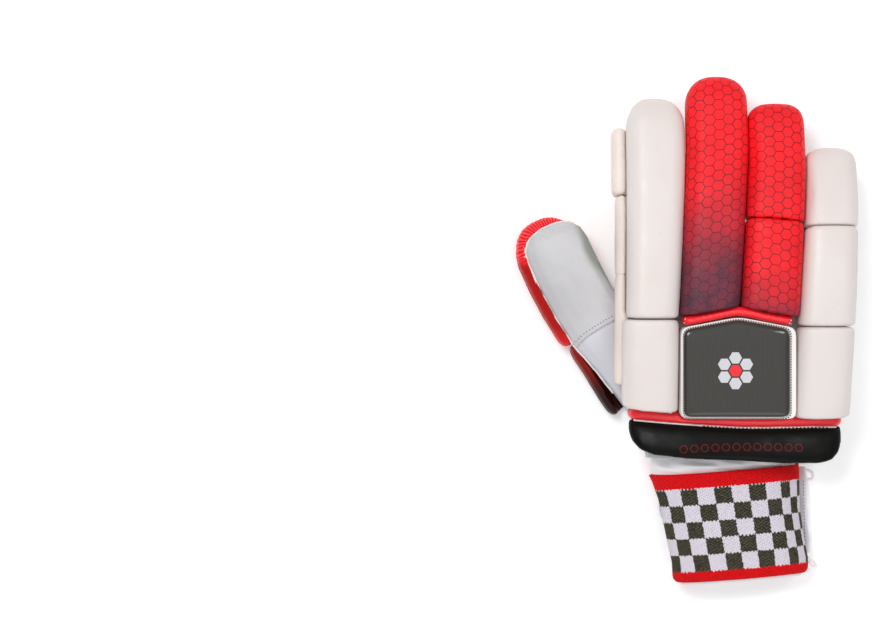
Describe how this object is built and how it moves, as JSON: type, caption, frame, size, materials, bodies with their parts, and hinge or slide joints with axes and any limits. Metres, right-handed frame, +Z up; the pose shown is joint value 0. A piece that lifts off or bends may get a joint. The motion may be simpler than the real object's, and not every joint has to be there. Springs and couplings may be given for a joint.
{
  "type": "batting glove",
  "caption": "Right-hand batting glove with foam finger pads, a guarded thumb, a pointed knuckle plate, a dark flare and a checked elastic wrist band.",
  "frame": {"origin": "on the surface that the glove lies on, at the middle of the flat leather of the palm", "axes": "+Z up, out of the back of the hand; +Y toward the fingertips; the thumb is at -X"},
  "size_m": [0.2019, 0.3057, 0.0583],
  "materials": {
    "palm_leather": "soft matte",
    "cream_leather": "smooth satin",
    "red_leather": "satin with a printed hexagon pattern, dark toward the knuckles",
    "thumb_leather": "satin, darkening toward the wrist",
    "red_roll": "satin",
    "black_leather": "glossy",
    "dark_panel": "clear glossy window over a textured ground",
    "white_piping": "satin",
    "white_cloth": "soft matte",
    "checked_knit": "dark and pale checks between red edges, knitted"
  },
  "bodies": {
    "root": {"hand_shell": "palm_leather", "index_stall": "palm_leather", "middle_stall": "palm_leather", "ring_stall": "palm_leather", "little_stall": "palm_leather", "thumb_stall": "palm_leather", "index_pad_long": "cream_leather", "index_pad_base": "cream_leather", "middle_pad": "red_leather", "ring_pad_tip": "red_leather", "ring_pad_base": "red_leather", "little_pad_tip": "cream_leather", "little_pad_middle": "cream_leather", "little_pad_base": "cream_leather", "index_guard_tip": "cream_leather", "index_guard_middle": "cream_leather", "index_guard_base": "cream_leather", "thumb_pad_tip": "thumb_leather", "thumb_pad_base": "thumb_leather", "knuckle_plate": "cream_leather", "plate_piping": "white_piping", "plate_panel": "dark_panel", "knuckle_roll": "red_roll", "cuff_roll": "red_roll", "cuff_piping": "white_piping", "cuff_flare": "black_leather", "wrist_sleeve": "white_cloth", "wrist_band": "checked_knit", "wrist_tab": "white_cloth"}
  },
  "joints": []
}
